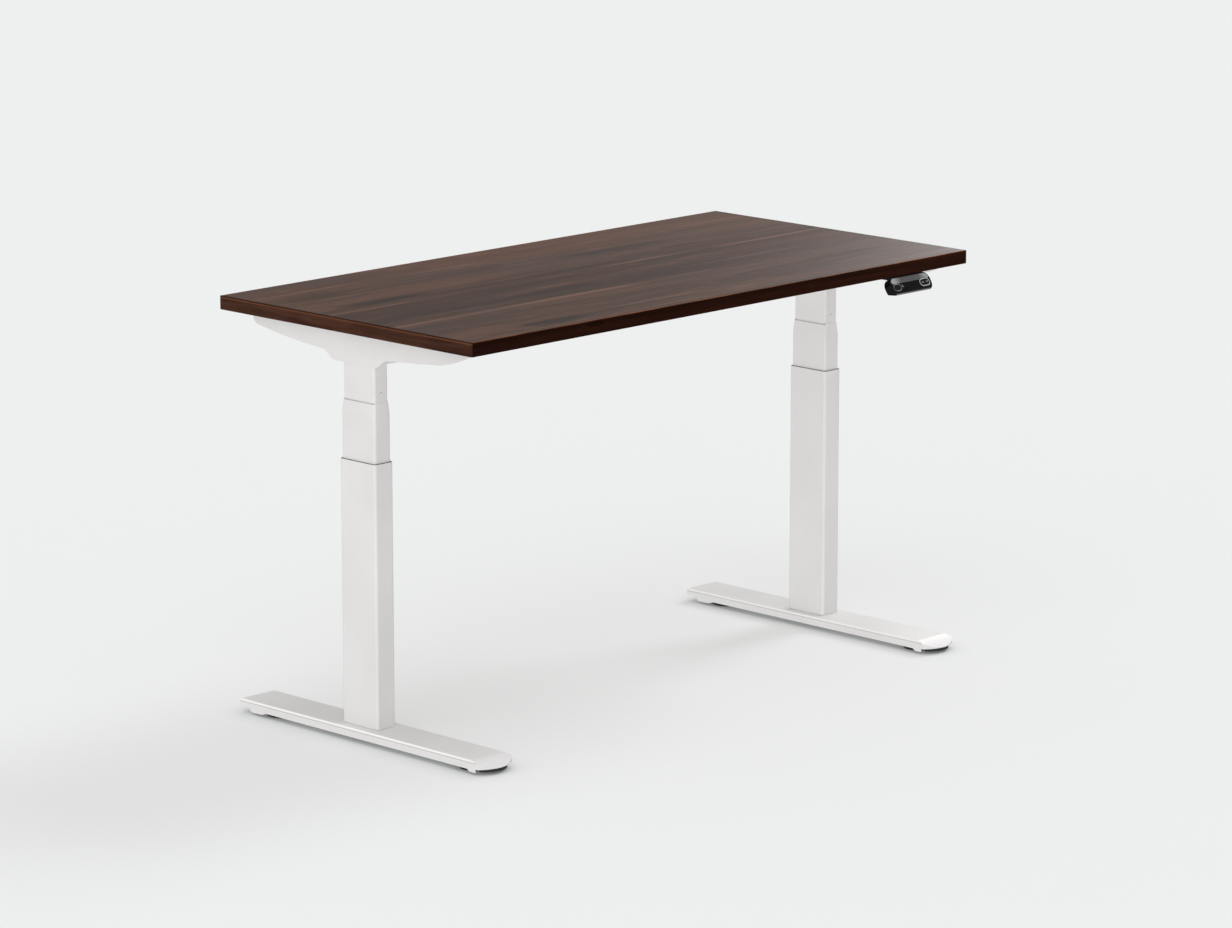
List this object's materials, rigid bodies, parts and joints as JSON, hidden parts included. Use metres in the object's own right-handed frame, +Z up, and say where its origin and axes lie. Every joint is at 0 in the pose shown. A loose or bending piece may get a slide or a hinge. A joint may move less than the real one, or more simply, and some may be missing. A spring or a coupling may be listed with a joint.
{
  "type": "height adjustable standing desk",
  "caption": "Electric sit-stand desk: walnut board on two white three-stage lifting columns with flat feet, slim side brackets and a tilted handset under the front edge.",
  "frame": {"origin": "floor level, centre of the whole desk seen from above", "axes": "+X to the user's right along the board, +Y away from the user, +Z up"},
  "size_m": [1.2192, 0.6238, 0.725],
  "materials": {
    "walnut_top": "dark walnut boards along the width, satin lacquer",
    "walnut_edge": "dark walnut edge band, satin lacquer",
    "white_powder_coat": "fine satin powder coat",
    "white_plastic": "moulded, satin",
    "black_rubber": "matt",
    "black_glide": "moulded, matt",
    "black_bush": "moulded, matt",
    "plated_steel": "zinc plated",
    "white_nut_plastic": "acetal, smooth",
    "cast_aluminium": "die cast",
    "motor_steel": "black painted can",
    "black_plastic": "fine moulded texture",
    "inlet_plastic": "smooth moulded",
    "handset_gloss": "high gloss",
    "brushed_trim": "brushed along its length",
    "bright_ring": "polished",
    "display_window": "smoked window",
    "button_gloss": null,
    "black_cable": "smooth sheath"
  },
  "bodies": {
    "base": {"foot_bolts": "plated_steel", "foot_nose_pads": "black_rubber", "left_foot": "white_powder_coat", "left_foot_nose_cap": "white_plastic", "left_base_plate": "plated_steel", "left_outer_tube": "white_powder_coat", "left_outer_bush": "black_bush", "left_fixed_screw": "plated_steel", "right_foot": "white_powder_coat", "right_foot_nose_cap": "white_plastic", "right_base_plate": "plated_steel", "right_outer_tube": "white_powder_coat", "right_outer_bush": "black_bush", "right_fixed_screw": "plated_steel"},
    "desk": {"back_rail": "white_powder_coat", "cable_clips": "black_plastic", "control_box_lid": "black_plastic", "control_box_shell": "black_plastic", "desktop_edge_banding": "walnut_edge", "desktop_panel": "walnut_top", "desktop_screws": "plated_steel", "front_rail": "white_powder_coat", "handset_cable": "black_cable", "handset_display": "display_window", "handset_housing": "handset_gloss", "handset_ring": "bright_ring", "handset_strip": "brushed_trim", "left_gearbox": "cast_aluminium", "left_inner_tube": "white_powder_coat", "left_motor": "motor_steel", "left_motor_cable": "black_cable", "left_motor_housing": "white_powder_coat", "left_side_bracket": "white_powder_coat", "mains_inlet": "inlet_plastic", "rail_bolts": "plated_steel", "right_gearbox": "cast_aluminium", "right_inner_tube": "white_powder_coat", "right_motor": "motor_steel", "right_motor_cable": "black_cable", "right_motor_housing": "white_powder_coat", "right_side_bracket": "white_powder_coat"},
    "left_middle": {"left_middle_tube": "white_powder_coat", "left_middle_bush": "black_bush", "left_nut_carrier": "plated_steel", "left_spindle_nut": "white_nut_plastic"},
    "left_drive": {"left_drive_tube": "plated_steel"},
    "left_spindle": {"left_upper_spindle": "plated_steel"},
    "left_front_glide": {"left_front_levelling_glide": "black_glide"},
    "left_back_glide": {"left_back_levelling_glide": "black_glide"},
    "right_middle": {"right_middle_tube": "white_powder_coat", "right_middle_bush": "black_bush", "right_nut_carrier": "plated_steel", "right_spindle_nut": "white_nut_plastic"},
    "right_drive": {"right_drive_tube": "plated_steel"},
    "right_spindle": {"right_upper_spindle": "plated_steel"},
    "right_front_glide": {"right_front_levelling_glide": "black_glide"},
    "right_back_glide": {"right_back_levelling_glide": "black_glide"},
    "up_button": {"handset_up_button": "button_gloss"},
    "down_button": {"handset_down_button": "button_gloss"},
    "memory_button": {"handset_memory_button": "button_gloss"}
  },
  "joints": [
    {"name": "desk_lift", "type": "slide", "parent": "base", "child": "desk", "axis": [0, 0, 1], "range_m": [-0.13, 0.45]},
    {"name": "left_middle_stage", "type": "slide", "parent": "base", "child": "left_middle", "axis": [0, 0, 1], "range_m": [-0.066, 0.226]},
    {"name": "left_spindle_turn", "type": "hinge", "parent": "desk", "child": "left_spindle", "pos_m": [-0.556, 0.0125, 0.3], "axis": [0, 0, 1], "range_deg": [-1960, 6760]},
    {"name": "left_drive_tube_turn", "type": "hinge", "parent": "left_middle", "child": "left_drive", "pos_m": [-0.556, 0.0125, 0.3], "axis": [0, 0, 1], "range_deg": [-1960, 6760]},
    {"name": "left_front_level", "type": "slide", "parent": "base", "child": "left_front_glide", "axis": [0, 0, -1], "range_m": [0, 0.01]},
    {"name": "left_back_level", "type": "slide", "parent": "base", "child": "left_back_glide", "axis": [0, 0, -1], "range_m": [0, 0.01]},
    {"name": "right_middle_stage", "type": "slide", "parent": "base", "child": "right_middle", "axis": [0, 0, 1], "range_m": [-0.066, 0.226]},
    {"name": "right_spindle_turn", "type": "hinge", "parent": "desk", "child": "right_spindle", "pos_m": [0.556, 0.0125, 0.3], "axis": [0, 0, 1], "range_deg": [-1960, 6760]},
    {"name": "right_drive_tube_turn", "type": "hinge", "parent": "right_middle", "child": "right_drive", "pos_m": [0.556, 0.0125, 0.3], "axis": [0, 0, 1], "range_deg": [-1960, 6760]},
    {"name": "right_front_level", "type": "slide", "parent": "base", "child": "right_front_glide", "axis": [0, 0, -1], "range_m": [0, 0.01]},
    {"name": "right_back_level", "type": "slide", "parent": "base", "child": "right_back_glide", "axis": [0, 0, -1], "range_m": [0, 0.01]},
    {"name": "up_press", "type": "slide", "parent": "desk", "child": "up_button", "axis": [0, 0.8453, -0.5344], "range_m": [0, 0.0008], "stiffness_N_per_m": 1500, "springref_m": -0.0002},
    {"name": "down_press", "type": "slide", "parent": "desk", "child": "down_button", "axis": [0, 0.8453, -0.5344], "range_m": [0, 0.0008], "stiffness_N_per_m": 1500, "springref_m": -0.0002},
    {"name": "memory_press", "type": "slide", "parent": "desk", "child": "memory_button", "axis": [0, 0.8453, -0.5344], "range_m": [0, 0.0008], "stiffness_N_per_m": 1500, "springref_m": -0.0002}
  ],
  "couplings": [
    {"joint": "left_middle_stage", "follows": "desk_lift", "ratio": 0.5},
    {"joint": "left_spindle_turn", "follows": "desk_lift", "rad_per_m": 261.8},
    {"joint": "left_drive_tube_turn", "follows": "desk_lift", "rad_per_m": 261.8},
    {"joint": "right_middle_stage", "follows": "desk_lift", "ratio": 0.5},
    {"joint": "right_spindle_turn", "follows": "desk_lift", "rad_per_m": 261.8},
    {"joint": "right_drive_tube_turn", "follows": "desk_lift", "rad_per_m": 261.8}
  ]
}
